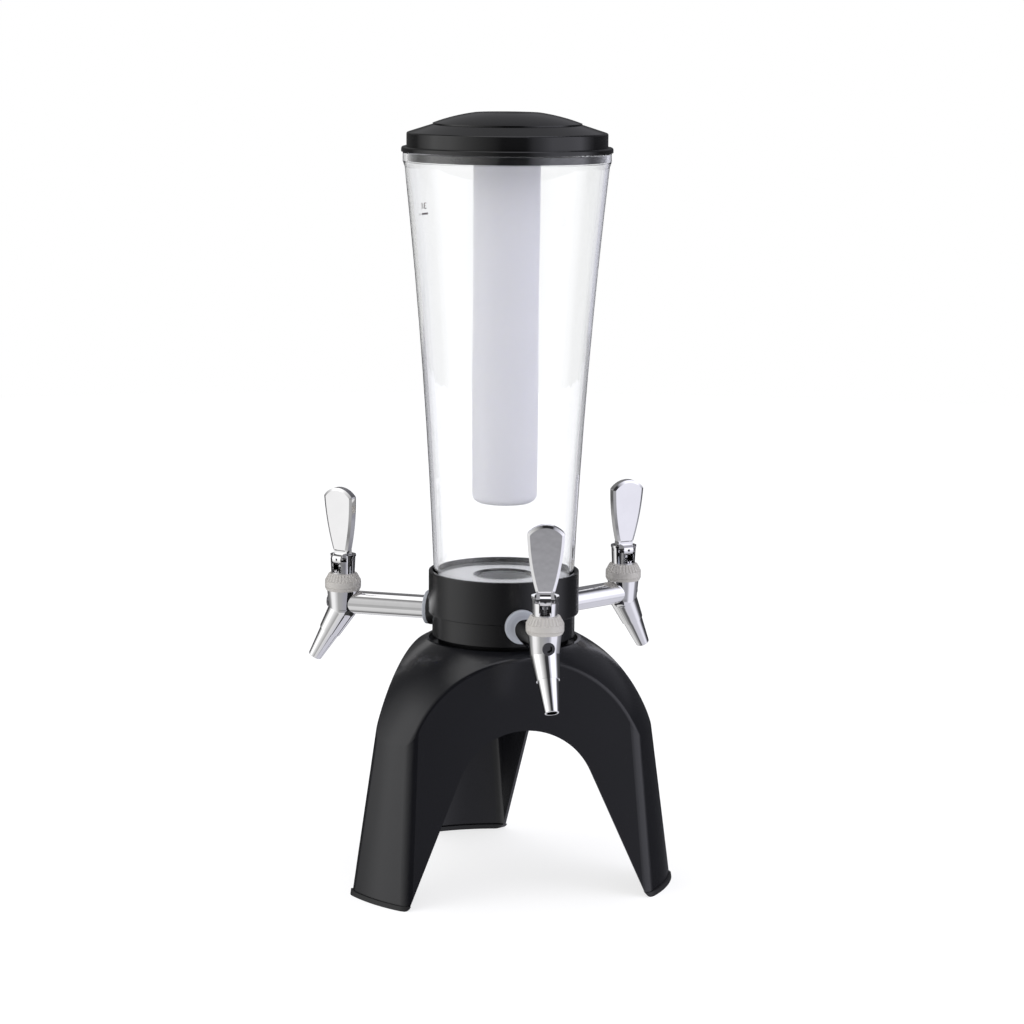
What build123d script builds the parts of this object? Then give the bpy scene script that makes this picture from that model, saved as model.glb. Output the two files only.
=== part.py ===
from build123d import *

import os
from math import asin, atan, cos, degrees, radians, sin, sqrt, tan

# Three-tap drink tower: a black tripod base, a collar that carries three taps,
# a clear tumbler with a hanging ice tube, and a domed lid.
# Millimetres. +Z is up, the origin is on the tower's axis at floor level.
# The front tap points along -Y.

# ---------------------------------------------------------------- driving sizes
# tripod base: a drafted block with three flat sides under a domed top, hollow below
FOOT_RADIUS = 130.6          # outside of the legs at floor level
FACE_DISTANCE = 90.4         # from the axis to a flat side at floor level
BASE_DRAFT = 7.3             # lean of legs and flat sides, degrees
DOME_RADIUS = 114.9          # radius of the arc that makes the dome
DOME_SHIFT = 6.3             # arc centre, outwards from the axis
DOME_CENTRE_Z = 84.5         # arc centre, above the floor
BASE_TOP_Z = 186.3           # flat rim round the collar's seat
BASE_WALL = 2.8
LEG_ROUND = 11.7             # rounding of each leg's long corners
ARCH_HALF_WIDTH = 92.0       # half the arch's width at the floor
ARCH_SLOPE = 23.5            # lean of the arch's straight sides, degrees
ARCH_TOP_Z = 129.3
FOOT_CORNER = 5.5            # rounding of the foot's lower corners
DOME_EDGE = 4.0              # rounding between the dome and the flat sides
SEAT_DEPTH = 4.3             # seat for the collar, sunk in the base's top
SEAT_MARGIN = 2.6            # seat's edge, outside the collar's lower ring
SEAT_PLATE = 4.5             # thickness of the plate under the seat

# foot strips: soft edging on the bottom of each leg
STRIP_HEIGHT = 3.6
STRIP_PROUD = 1.5            # how far a strip stands out of the leg, inside and outside
STRIP_SOLE = 1.4             # thickness under the leg's edge

# collar
COLLAR_RADIUS = 57.4
COLLAR_TOP_Z = 238.6
COLLAR_STEP_Z = 206.0        # where the wide upper ring ends
LOWER_RING_RADIUS = 54.5
LOWER_RING_GAP = 2.0         # dark gap between the lower ring and the base
COLLAR_NECK_RADIUS = 50.0    # recessed neck that stands in the base's seat
COLLAR_WALL = 2.6
COLLAR_EDGE = 0.8            # rounding of the collar's edges
LEDGE_WIDTH = 5.3            # inner ledge that carries the manifold
LEDGE_DROP = 9.0             # ledge top, below the collar's top
PAD_RADIUS = 13.3            # round pads that the pipes' washers bear on
PAD_FACE = 59.0              # outer face of a pad, from the tower's axis
PAD_INNER_FACE = 49.5        # inner face of a pad, from the tower's axis

# manifold: spreads the drink from the tumbler to the three pipes
FLANGE_THICKNESS = 3.0
CHAMBER_RADIUS = 20.5
MANIFOLD_WALL = 3.2
CHAMBER_FLOOR_Z = 197.6
PORT_RADIUS = 10.2           # outside of a port tube
PORT_END = 43.5              # end of a port tube, from the tower's axis
POST_CIRCLE = 36.0           # circle of the three screw posts
POST_RADIUS = 4.5
RIB_THICKNESS = 3.0

# tumbler
TUMBLER_WALL = 2.8
TUMBLER_FLOOR = 3.0
TUMBLER_BASE_RADIUS = 53.4
TUMBLER_SHOULDER_Z = 545.0   # where the flared wall meets the rim
TUMBLER_SHOULDER_RADIUS = 76.8
TUMBLER_BOW = 2.6            # how far the wall bows in from a straight line
RIM_RADIUS = 78.2
RIM_TOP_Z = 556.0
RIM_HEIGHT = 7.0
RIM_BORE = 75.1
RIM_EDGE = 1.0
NECK_RADIUS = 23.7           # outside of the threaded neck under the floor
NECK_WALL = 3.2
NECK_LENGTH = 16.6
MOUTH_FUNNEL = 2.4           # slope round the hole in the floor
GASKET_THICKNESS = 2.0       # ring that seals the neck in the manifold

# lid
LID_FLANGE_RADIUS = 79.4
LID_FLANGE_HEIGHT = 3.8
LID_BAND_RADIUS = 75.5
LID_BAND_TOP_Z = 570.2
LID_SHOULDER_RADIUS = 56.8   # where the sloping shoulder reaches the raised disc
LID_SHOULDER_Z = 576.2
LID_DISC_RADIUS = 56.0
LID_DISC_EDGE_Z = 577.3      # top of the disc's upright edge
LID_GROOVE = 0.7             # depth and height of the groove under the disc's edge
LID_FLAT_RADIUS = 25.0       # flat centre of the raised disc
LID_TOP_Z = 585.2
LID_DISC_BOW = 0.9
LID_WALL = 2.4
LID_ROUND = 1.6
SKIRT_GAP = 0.4              # between the lid's skirt and the tumbler's rim
SKIRT_DEPTH = 6.6            # skirt, below the rim's top
LINER_WALL = 2.0
LINER_LIP = 4.0              # ring of the liner that snaps up into the cover
LINER_DROP = 2.8             # liner plate's underside, below the rim's top
SOCKET_RING_DEPTH = 3.6      # ring that holds the ice tube's mouth
SOCKET_RING_WALL = 3.0

# ice tube
TUBE_TOP_RADIUS = 25.3
TUBE_BOTTOM_RADIUS = 24.7
TUBE_BOTTOM_Z = 291.0
TUBE_WALL = 2.0
TUBE_CORNER = 7.0

# taps: pipe, washer and nuts
TAP_REACH = 130.4            # the tap's upright axis, from the tower's axis
PIPE_Z = 205.6               # height of the pipe's axis
PIPE_RADIUS = 9.0
PIPE_BORE = 4.8
STUD_RADIUS = 7.45           # threaded end that passes through the collar
STUD_END = 30.5              # end of the stud, from the tower's axis
SPIGOT_RADIUS = 6.2          # pipe's outer end, inside the tap body
WASHER_RADIUS = 13.0
WASHER_THICKNESS = 3.0
WASHER_EDGE = 1.2
LOCK_NUT_FLATS = 22.0
LOCK_NUT_THICKNESS = 5.0

# taps: body and nozzle
BARREL_TOP_RADIUS = 12.3
BARREL_HEIGHT = 9.2          # barrel's top, above the pipe's axis
BODY_NECK_RADIUS = 11.0
BODY_NECK_HEIGHT = 7.6
VALVE_BORE = 8.2
ELBOW_DROP = 5.1             # elbow's centre, below the pipe's axis
ELBOW_RADIUS = 10.9
SPOUT_LEAN = 30.5            # degrees from the vertical
SPOUT_LENGTH = 21.5          # from the elbow's centre to the nozzle's seam
SPOUT_END_RADIUS = 8.6
SPOUT_BORE = 5.2
SPOUT_BORE_START = 7.0       # from the elbow's centre
NOZZLE_LENGTH = 24.5
NOZZLE_TOP_RADIUS = 7.9
NOZZLE_END_RADIUS = 5.3
NOZZLE_BORE = 4.1
NOZZLE_SPIGOT_RADIUS = 6.6
NOZZLE_SPIGOT_LENGTH = 5.0
NOZZLE_EDGE = 0.5
PLUG_RADIUS = 4.7            # plug on the front of the body, on the pipe's axis
PLUG_SHANK_RADIUS = 4.0
PLUG_HEAD = 1.4
PLUG_PROUD = 0.6
PLUG_HEX_FLATS = 5.0
PLUG_HEX_DEPTH = 2.5

# taps: coupling nut and bonnet
NUT_RADIUS = 14.0
NUT_LIP = 2.1                # thickness of the nut's top lip
NUT_TOP_RADIUS = 11.0
NUT_CONE = 5.4               # height of the toothed upper cone
NUT_FOOT = 2.2               # height of the sloping lower edge
NUT_FOOT_INSET = 1.1
NUT_TEETH = 30
NOTCH_RADIUS = 0.9           # round notches between the teeth
NOTCH_BITE = 0.6             # depth of a notch in the cone
BAND_GROOVE = 0.35           # depth and half height of the fine grooves round the nut's band
BONNET_GASKET = 1.6
BONNET_FLANGE = 2.0
BONNET_FLANGE_RADIUS = 10.8
BONNET_FLOOR = 2.2
BONNET_HEIGHT = 19.0
SLEEVE_FOOT_RADIUS = 9.0
SLEEVE_TOP_RADIUS = 9.7
SLEEVE_BORE = 7.6
SLEEVE_LIP = 1.5             # small lip round the sleeve's top
SLEEVE_LIP_PROUD = 0.45
WINDOW_HALF_WIDTH = 4.5      # narrow window in front of the spring
WINDOW_SILL = 1.0            # above the nut
NOTCH_HALF_WIDTH = 7.9       # wide notch that the handle tips into
NOTCH_DEPTH = 5.0
NOTCH_START = 2.2            # in front of the pin's axis

# taps: handle, pin, stem and spring
PIN_RADIUS = 1.3
PIN_DROP = 3.5               # pin's axis, below the sleeve's top
PIN_HALF_LENGTH = 9.3
HUB_RADIUS = 3.4
HUB_HALF_WIDTH = 6.5
CAM_RADIUS = 4.2
CAM_OFFSET = 4.2             # cam's centre, in front of the pin
CAM_HALF_WIDTH = 4.0
CAM_GAP = 0.3                # free play over the stem's head
CAM_HOLE_RADIUS = 1.1
CAM_HOLE_DEPTH = 1.8
HANDLE_TURN = 45.0           # how far a handle tips to open its tap fully, degrees
PADDLE_BOTTOM = 5.4          # above the pin
PADDLE_HEIGHT = 51.0
PADDLE_FOOT_HALF_WIDTH = 6.6
PADDLE_HALF_WIDTH = 13.7
PADDLE_CROWN = 6.9           # rise of the rounded top
PADDLE_BELLY = 1.4           # outward bow of the long sides
PADDLE_THICKNESS = 7.5
PADDLE_LEAN = 4.0            # degrees
PADDLE_CORNER = 2.4
BEVEL_DEPTH = 1.1
BEVEL_WIDTH = 2.0
BACK_ROUND = 2.2
NECK_HALF_DEPTH = 3.2        # block that joins paddle and hub
STEM_RADIUS = 2.0
STEM_HEAD_RADIUS = 4.6
STEM_HEAD = 1.6
THROAT_RADIUS = 3.4
THROAT_LENGTH = 3.0
SEAL_RADIUS = 4.75
SEAL_THICKNESS = 1.6
SEAL_ROOM = 0.5              # round and under the seal
STEM_TAIL = 0.6
STEM_TAIL_RADIUS = 3.4
SPRING_WIRE = 0.7            # wire's diameter
SPRING_RADIUS = 3.3          # to the middle of the wire
SPRING_TURNS = 4

# screws that hold base, collar and manifold together
SCREW_RADIUS = 1.9
SCREW_HEAD_RADIUS = 4.0
SCREW_HEAD = 2.6
SCREW_HEX_FLATS = 3.0
SCREW_HEX_DEPTH = 1.5
SCREW_REACH = 14.0           # thread in the manifold's post

# clearances
RUNNING = 0.05               # radial, for a pin or stem in its hole
THREAD_GAP = 0.05            # radial, for a screwed or pressed fit
LOOSE = 0.3                  # for parts that lift or screw apart
HOLE_GAP = 0.3               # radial, for a screw or stud through a plain hole
END_GAP = 0.5                # behind the end of a screw or stud

# taps: name, direction of the pipe, and how far the bonnet is turned from it before
# its nut is tightened, in degrees round the upright axis
TAPS = (("front", 270.0, -13.0), ("right", 30.0, -105.0), ("left", 150.0, 71.0))
LEGS = (("right", 330.0), ("left", 210.0), ("rear", 90.0))

# ---------------------------------------------------------------- worked-out sizes
BASE_TAN = tan(radians(BASE_DRAFT))
BASE_COS = cos(radians(BASE_DRAFT))
SEAT_Z = BASE_TOP_Z - SEAT_DEPTH
BASE_CEILING_Z = SEAT_Z - SEAT_PLATE
LOWER_RING_Z = BASE_TOP_Z + LOWER_RING_GAP
LEDGE_Z = COLLAR_TOP_Z - LEDGE_DROP
COLLAR_BORE = COLLAR_RADIUS - COLLAR_WALL
LOWER_BORE = LOWER_RING_RADIUS - COLLAR_WALL
COLLAR_FLOOR_Z = LOWER_RING_Z + COLLAR_WALL
FLANGE_TOP_Z = LEDGE_Z + FLANGE_THICKNESS
NECK_BOTTOM_Z = FLANGE_TOP_Z - NECK_LENGTH
SOCKET_FLOOR_Z = NECK_BOTTOM_Z - GASKET_THICKNESS
TUMBLER_FLOOR_Z = FLANGE_TOP_Z + TUMBLER_FLOOR
NECK_BORE = NECK_RADIUS - NECK_WALL
COVER_BORE = LID_BAND_RADIUS - LID_WALL
SKIRT_RADIUS = RIM_BORE - SKIRT_GAP
LINER_BORE = COVER_BORE - THREAD_GAP - LINER_WALL
LINER_PLATE_Z = RIM_TOP_Z - LINER_DROP
PIPE_SHOULDER = PAD_FACE + WASHER_THICKNESS
BARREL_TOP_Z = PIPE_Z + BARREL_HEIGHT
BODY_TOP_Z = BARREL_TOP_Z + BODY_NECK_HEIGHT
ELBOW_Z = PIPE_Z - ELBOW_DROP
THROAT_BOTTOM_Z = ELBOW_Z - THROAT_LENGTH
BONNET_Z = BODY_TOP_Z + BONNET_GASKET
BONNET_TOP_Z = BONNET_Z + BONNET_HEIGHT
NUT_TOP_Z = BONNET_Z + BONNET_FLANGE + NUT_LIP
PIN_Z = BONNET_TOP_Z - PIN_DROP
STEM_TOP_Z = PIN_Z - CAM_RADIUS - CAM_GAP
STEM_TRAVEL = CAM_OFFSET * sin(radians(HANDLE_TURN))
STEM_BOTTOM_Z = THROAT_BOTTOM_Z - SEAL_THICKNESS - STEM_TAIL


# ---------------------------------------------------------------- helpers
def ring(outer, inner, bottom, top):
    """Upright tube between two heights."""
    return Pos(0, 0, bottom) * extrude(Circle(outer) - Circle(inner), amount=top - bottom)


def rod(radius, bottom, top):
    """Upright rod between two heights."""
    return Pos(0, 0, bottom) * extrude(Circle(radius), amount=top - bottom)


def frustum(bottom_radius, top_radius, bottom, top):
    """Upright cone piece between two heights."""
    return turned(Polyline((0, bottom), (bottom_radius, bottom), (top_radius, top), (0, top), close=True))


def turned(outline, corners=(), corner_radius=0):
    """Solid of revolution from an outline in X (radius) and Y (height), with some corners rounded."""
    face = make_face(outline)
    for x, y in corners:
        face = fillet([v for v in face.vertices() if abs(v.X - x) + abs(v.Y - y) < 0.001], corner_radius)
    return revolve(Plane.XZ * face, axis=Axis.Z)


def rod_along_x(radius, start, end, height):
    """Level rod along +X."""
    return Pos(start, 0, height) * Rot(0, 90, 0) * extrude(Circle(radius), amount=end - start)


def rod_along_y(radius, half_length, x, height):
    """Level rod along Y, its middle at Y = 0."""
    return Pos(x, 0, height) * Rot(90, 0, 0) * extrude(Circle(radius), amount=half_length, both=True)


def hex_prism(flats, height):
    """Six-sided prism standing on the ground plane."""
    return extrude(RegularPolygon(flats / 2, 6, major_radius=False), amount=height)


def around(piece, angle):
    """The piece turned round the tower's axis."""
    return Rot(0, 0, angle) * piece


def at_tap(piece, pipe_angle, turn=0):
    """A piece drawn round its own upright axis, put on a tap and turned from the pipe."""
    return Rot(0, 0, pipe_angle) * Pos(TAP_REACH, 0, 0) * Rot(0, 0, turn) * piece


def along_spout(piece):
    """A piece drawn upwards from the origin, laid along the leaning spout."""
    return Pos(0, 0, ELBOW_Z) * Rot(0, 180 - SPOUT_LEAN, 0) * piece


# ---------------------------------------------------------------- tripod base
def drafted_block(inset, bottom, top):
    """Leaning three-sided block with rounded legs, or the same moved in by a wall."""
    foot = FOOT_RADIUS - inset / BASE_COS
    distance = FACE_DISTANCE - inset / BASE_COS - BASE_TAN * bottom
    legs = sorted(radians(angle) for _, angle in LEGS)
    corners = [(2 * distance * cos(leg), 2 * distance * sin(leg)) for leg in legs]
    sides = Pos(0, 0, bottom) * extrude(make_face(Polyline(*corners, close=True)),
                                        amount=top - bottom, taper=BASE_DRAFT)
    block = sides & frustum(foot - BASE_TAN * bottom, foot - BASE_TAN * top, bottom, top)
    upright = [e for e in block.edges() if e.bounding_box().size.Z > 0.9 * (top - bottom)]
    return fillet(upright, LEG_ROUND - inset)


def dome(inset, bottom, top):
    """Domed top over a wide round block, or the same moved in by a wall."""
    radius = DOME_RADIUS - inset
    rise = top - DOME_CENTRE_Z
    top_reach = DOME_SHIFT + sqrt(radius ** 2 - rise ** 2)
    half_angle = asin(rise / radius) / 2
    middle = (DOME_SHIFT + radius * cos(half_angle), DOME_CENTRE_Z + radius * sin(half_angle))
    widest = (DOME_SHIFT + radius, DOME_CENTRE_Z)
    brim = 1.3 * FOOT_RADIUS
    outline = Polyline((top_reach, top), (0, top), (0, bottom), (brim, bottom), (brim, DOME_CENTRE_Z), widest)
    return turned(outline + ThreePointArc(widest, middle, (top_reach, top)))


def arch_cutter(angle):
    """Arch-shaped prism that opens one flat side, rounding the corners of the feet."""
    slope = radians(ARCH_SLOPE)
    centre_z = (ARCH_TOP_Z - ARCH_HALF_WIDTH * cos(slope)) / (1 - sin(slope))
    radius = ARCH_TOP_Z - centre_z
    x = radius * cos(slope)
    z = centre_z + radius * sin(slope)
    far = 2 * FOOT_RADIUS
    sides = Polyline((x, z), (ARCH_HALF_WIDTH, 0), (far, 0), (far, -far), (-far, -far), (-far, 0),
                     (-ARCH_HALF_WIDTH, 0), (-x, z))
    face = make_face(sides + ThreePointArc((-x, z), (0, ARCH_TOP_Z), (x, z)))
    feet = [v for v in face.vertices() if abs(abs(v.X) - ARCH_HALF_WIDTH) + abs(v.Y) < 0.001]
    prism = extrude(Plane.YZ * fillet(feet, FOOT_CORNER), amount=FOOT_RADIUS)
    return around(Pos(FACE_DISTANCE / 2, 0, 0) * prism, angle)


def post_holes(radius, bottom, top):
    """Three upright rods on the screws' circle, between the pipes."""
    return [around(Pos(POST_CIRCLE, 0, 0) * rod(radius, bottom, top), angle) for _, angle in LEGS]


def dome_edges(block):
    """Edges where the domed top meets the flat sides."""
    sides = [face for face in block.faces().filter_by(GeomType.PLANE) if abs(face.normal_at().Z) < 0.5]
    floor = min(edge.bounding_box().min.Z for edge in block.edges())
    return [e for side in sides for e in side.edges() if e.bounding_box().min.Z > floor + 1]


def tripod_base():
    """Hollow shell on three legs, with the sunk seat and screw holes for the collar."""
    shell = drafted_block(0, STRIP_SOLE, BASE_TOP_Z) & dome(0, 0, BASE_TOP_Z)
    shell = fillet(dome_edges(shell), DOME_EDGE)
    shell -= drafted_block(BASE_WALL, 0, BASE_CEILING_Z) & dome(BASE_WALL, 0, BASE_CEILING_Z)
    shell -= [arch_cutter(angle) for _, angle, _ in TAPS]
    shell -= rod(LOWER_RING_RADIUS + SEAT_MARGIN, SEAT_Z, BASE_TOP_Z + 1)
    return shell - post_holes(SCREW_RADIUS + HOLE_GAP, BASE_CEILING_Z - 1, SEAT_Z + 1)


def foot_strip(shell, angle):
    """Soft strip under one leg, gripping the edge of the shell."""
    band = drafted_block(-STRIP_PROUD, 0, STRIP_HEIGHT)
    band -= drafted_block(BASE_WALL + STRIP_PROUD, -1, STRIP_HEIGHT + 1)
    strips = band - [arch_cutter(a) for _, a, _ in TAPS] - shell
    toward = Vector(cos(radians(angle)), sin(radians(angle)), 0)
    return max(strips.solids(), key=lambda strip: strip.center().dot(toward))


# ---------------------------------------------------------------- collar and manifold
def collar():
    """Black collar: wide upper ring, lower ring, recessed neck, inner ledge and three pads."""
    lip = COLLAR_BORE - LEDGE_WIDTH
    step = COLLAR_STEP_Z + COLLAR_WALL
    outline = Polyline(
        (0, COLLAR_FLOOR_Z), (LOWER_BORE, COLLAR_FLOOR_Z), (LOWER_BORE, step), (COLLAR_BORE, step),
        (COLLAR_BORE, LEDGE_Z - COLLAR_WALL), (lip, LEDGE_Z - COLLAR_WALL), (lip, LEDGE_Z),
        (COLLAR_BORE, LEDGE_Z), (COLLAR_BORE, COLLAR_TOP_Z), (COLLAR_RADIUS, COLLAR_TOP_Z),
        (COLLAR_RADIUS, COLLAR_STEP_Z), (LOWER_RING_RADIUS, COLLAR_STEP_Z),
        (LOWER_RING_RADIUS, LOWER_RING_Z), (COLLAR_NECK_RADIUS, LOWER_RING_Z),
        (COLLAR_NECK_RADIUS, SEAT_Z), (COLLAR_NECK_RADIUS - COLLAR_WALL, SEAT_Z),
        (COLLAR_NECK_RADIUS - COLLAR_WALL, LOWER_RING_Z), (0, LOWER_RING_Z), close=True)
    edges = [(COLLAR_RADIUS, COLLAR_TOP_Z), (COLLAR_RADIUS, COLLAR_STEP_Z), (LOWER_RING_RADIUS, LOWER_RING_Z)]
    body = turned(outline, edges, COLLAR_EDGE)
    body += post_holes(POST_RADIUS, SEAT_Z, COLLAR_FLOOR_Z)
    for _, angle, _ in TAPS:
        pad = rod_along_x(PAD_RADIUS, PAD_INNER_FACE, PAD_FACE, PIPE_Z)
        body += around(fillet(pad.edges().sort_by(Axis.X)[-1], COLLAR_EDGE), angle)
    for _, angle, _ in TAPS:
        body -= around(rod_along_x(STUD_RADIUS + HOLE_GAP, CHAMBER_RADIUS, PIPE_SHOULDER, PIPE_Z), angle)
    return body - post_holes(SCREW_RADIUS + HOLE_GAP, SEAT_Z - 1, COLLAR_FLOOR_Z + 1)


def manifold():
    """White spreader: a flange on the collar's ledge, a socket for the tumbler and three ports."""
    body = rod(CHAMBER_RADIUS + MANIFOLD_WALL, CHAMBER_FLOOR_Z - MANIFOLD_WALL, LEDGE_Z)
    body += rod(NECK_RADIUS + LOOSE + MANIFOLD_WALL, SOCKET_FLOOR_Z - MANIFOLD_WALL, LEDGE_Z)
    body += rod(COLLAR_BORE - LOOSE, LEDGE_Z, FLANGE_TOP_Z)
    body += post_holes(POST_RADIUS, COLLAR_FLOOR_Z, LEDGE_Z)
    rib_height = LEDGE_Z - CHAMBER_FLOOR_Z
    rib_place = Pos(POST_CIRCLE / 2, 0, CHAMBER_FLOOR_Z + rib_height / 2)
    rib = rib_place * Box(POST_CIRCLE, RIB_THICKNESS, rib_height)
    body += [around(rib, angle) for _, angle in LEGS]
    body += [around(rod_along_x(PORT_RADIUS, 0, PORT_END, PIPE_Z), angle) for _, angle, _ in TAPS]
    body -= rod(CHAMBER_RADIUS, CHAMBER_FLOOR_Z, SOCKET_FLOOR_Z)
    body -= rod(NECK_RADIUS + LOOSE, SOCKET_FLOOR_Z, FLANGE_TOP_Z + 1)
    body -= post_holes(SCREW_RADIUS + THREAD_GAP, COLLAR_FLOOR_Z - 1, COLLAR_FLOOR_Z + SCREW_REACH + END_GAP)
    body -= [around(rod_along_x(PIPE_BORE, 0, PORT_END, PIPE_Z), angle) for _, angle, _ in TAPS]
    stud_hole = rod_along_x(STUD_RADIUS + THREAD_GAP, STUD_END - END_GAP, PORT_END + 1, PIPE_Z)
    return body - [around(stud_hole, angle) for _, angle, _ in TAPS]


def neck_gasket():
    """Ring that seals the tumbler's neck in the manifold's socket."""
    return ring(NECK_RADIUS, NECK_BORE, SOCKET_FLOOR_Z, NECK_BOTTOM_Z)


def base_screws():
    """Three screws up through base and collar into the manifold's posts."""
    screw = rod(SCREW_RADIUS, BASE_CEILING_Z, COLLAR_FLOOR_Z + SCREW_REACH)
    screw += rod(SCREW_HEAD_RADIUS, BASE_CEILING_Z - SCREW_HEAD, BASE_CEILING_Z)
    screw -= Pos(0, 0, BASE_CEILING_Z - SCREW_HEAD) * hex_prism(SCREW_HEX_FLATS, SCREW_HEX_DEPTH)
    return Compound([around(Pos(POST_CIRCLE, 0, 0) * screw, angle).solid() for _, angle in LEGS])


# ---------------------------------------------------------------- tumbler, lid and ice tube
def bowed_wall(inset, bottom, top):
    """Arc of the tumbler's flared wall, drawn from its bottom to its top."""
    low = (TUMBLER_BASE_RADIUS - inset, bottom)
    high = (TUMBLER_SHOULDER_RADIUS - inset, top)
    middle = ((low[0] + high[0]) / 2 - TUMBLER_BOW, (low[1] + high[1]) / 2)
    return ThreePointArc(low, middle, high)


def tumbler():
    """Clear flared tumbler with a thick rim and a threaded neck under its floor."""
    rim_foot = RIM_TOP_Z - RIM_HEIGHT
    outside = Polyline((NECK_BORE, NECK_BOTTOM_Z), (NECK_RADIUS, NECK_BOTTOM_Z),
                       (NECK_RADIUS, FLANGE_TOP_Z), (TUMBLER_BASE_RADIUS, FLANGE_TOP_Z))
    rim = Polyline((TUMBLER_SHOULDER_RADIUS, TUMBLER_SHOULDER_Z), (RIM_RADIUS, rim_foot),
                   (RIM_RADIUS, RIM_TOP_Z), (RIM_BORE, RIM_TOP_Z), (RIM_BORE, rim_foot),
                   (TUMBLER_SHOULDER_RADIUS - TUMBLER_WALL, TUMBLER_SHOULDER_Z))
    inside = Polyline((TUMBLER_BASE_RADIUS - TUMBLER_WALL, TUMBLER_FLOOR_Z),
                      (NECK_BORE + MOUTH_FUNNEL, TUMBLER_FLOOR_Z),
                      (NECK_BORE, TUMBLER_FLOOR_Z - MOUTH_FUNNEL), (NECK_BORE, NECK_BOTTOM_Z))
    wall = bowed_wall(0, FLANGE_TOP_Z, TUMBLER_SHOULDER_Z)
    inner_wall = bowed_wall(TUMBLER_WALL, TUMBLER_FLOOR_Z, TUMBLER_SHOULDER_Z)
    outline = outside + wall + rim + inner_wall + inside
    return turned(outline, [(RIM_RADIUS, RIM_TOP_Z), (RIM_BORE, RIM_TOP_Z)], RIM_EDGE)


def disc_arc(drop, reach):
    """Slightly bowed slope of the lid's raised disc, from its edge to its flat centre."""
    edge = (reach, LID_DISC_EDGE_Z - drop)
    flat = (LID_FLAT_RADIUS, LID_TOP_Z - drop)
    middle = ((edge[0] + flat[0]) / 2, (edge[1] + flat[1]) / 2 + LID_DISC_BOW)
    return ThreePointArc(edge, middle, flat)


def lid_cover():
    """Domed black cover with a flange that rests on the tumbler's rim."""
    flange_top = RIM_TOP_Z + LID_FLANGE_HEIGHT
    groove_radius = LID_DISC_RADIUS - LID_GROOVE
    outside = Polyline(
        (COVER_BORE, RIM_TOP_Z), (LID_FLANGE_RADIUS, RIM_TOP_Z), (LID_FLANGE_RADIUS, flange_top),
        (LID_BAND_RADIUS, flange_top), (LID_BAND_RADIUS, LID_BAND_TOP_Z),
        (LID_SHOULDER_RADIUS, LID_SHOULDER_Z), (groove_radius, LID_SHOULDER_Z),
        (groove_radius, LID_SHOULDER_Z + LID_GROOVE), (LID_DISC_RADIUS, LID_SHOULDER_Z + LID_GROOVE),
        (LID_DISC_RADIUS, LID_DISC_EDGE_Z))
    crown = Polyline((LID_FLAT_RADIUS, LID_TOP_Z), (0, LID_TOP_Z), (0, LID_TOP_Z - LID_WALL),
                     (LID_FLAT_RADIUS, LID_TOP_Z - LID_WALL))
    inner_reach = groove_radius - LID_WALL
    inside = Polyline((inner_reach, LID_DISC_EDGE_Z - LID_WALL), (inner_reach, LID_SHOULDER_Z - LID_WALL),
                      (COVER_BORE, LID_BAND_TOP_Z - LID_WALL), (COVER_BORE, RIM_TOP_Z))
    outline = outside + disc_arc(0, LID_DISC_RADIUS) + crown + disc_arc(LID_WALL, inner_reach) + inside
    return turned(outline, [(LID_BAND_RADIUS, LID_BAND_TOP_Z), (LID_FLANGE_RADIUS, flange_top)], LID_ROUND)


def lid_plug():
    """Liner under the cover: a skirt inside the rim, a plate, and the ring for the ice tube."""
    snap_radius = COVER_BORE - THREAD_GAP
    plate_top = LINER_PLATE_Z + LINER_WALL
    outline = Polyline(
        (0, LINER_PLATE_Z), (LINER_BORE, LINER_PLATE_Z), (LINER_BORE, RIM_TOP_Z - SKIRT_DEPTH),
        (SKIRT_RADIUS, RIM_TOP_Z - SKIRT_DEPTH), (SKIRT_RADIUS, RIM_TOP_Z), (snap_radius, RIM_TOP_Z),
        (snap_radius, RIM_TOP_Z + LINER_LIP), (LINER_BORE, RIM_TOP_Z + LINER_LIP),
        (LINER_BORE, plate_top), (0, plate_top), close=True)
    mouth = TUBE_TOP_RADIUS + LOOSE
    holder = ring(mouth + SOCKET_RING_WALL, mouth, LINER_PLATE_Z - SOCKET_RING_DEPTH, LINER_PLATE_Z)
    return turned(outline) + holder


def ice_tube():
    """Milky closed tube for ice, screwed under the lid and hanging in the drink."""
    inner_corner = TUBE_CORNER - TUBE_WALL
    floor_z = TUBE_BOTTOM_Z + TUBE_WALL
    outer = Polyline((0, TUBE_BOTTOM_Z), (TUBE_BOTTOM_RADIUS, TUBE_BOTTOM_Z),
                     (TUBE_TOP_RADIUS, LINER_PLATE_Z), (0, LINER_PLATE_Z), close=True)
    inner = Polyline((0, floor_z), (TUBE_BOTTOM_RADIUS - TUBE_WALL, floor_z),
                     (TUBE_TOP_RADIUS - TUBE_WALL, LINER_PLATE_Z), (0, LINER_PLATE_Z), close=True)
    return (turned(outer, [(TUBE_BOTTOM_RADIUS, TUBE_BOTTOM_Z)], TUBE_CORNER)
            - turned(inner, [(TUBE_BOTTOM_RADIUS - TUBE_WALL, floor_z)], inner_corner))


# ---------------------------------------------------------------- taps
def shank(envelope):
    """Pipe from the collar to the tap body, its end shaped to the body's outside."""
    pipe = rod_along_x(PIPE_RADIUS, PIPE_SHOULDER, TAP_REACH, PIPE_Z) - Pos(TAP_REACH, 0, 0) * envelope
    pipe += rod_along_x(STUD_RADIUS, STUD_END, PIPE_SHOULDER, PIPE_Z)
    pipe += rod_along_x(SPIGOT_RADIUS, PIPE_SHOULDER, TAP_REACH - VALVE_BORE - END_GAP, PIPE_Z)
    return pipe - rod_along_x(PIPE_BORE, STUD_END - 1, TAP_REACH, PIPE_Z)


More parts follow.
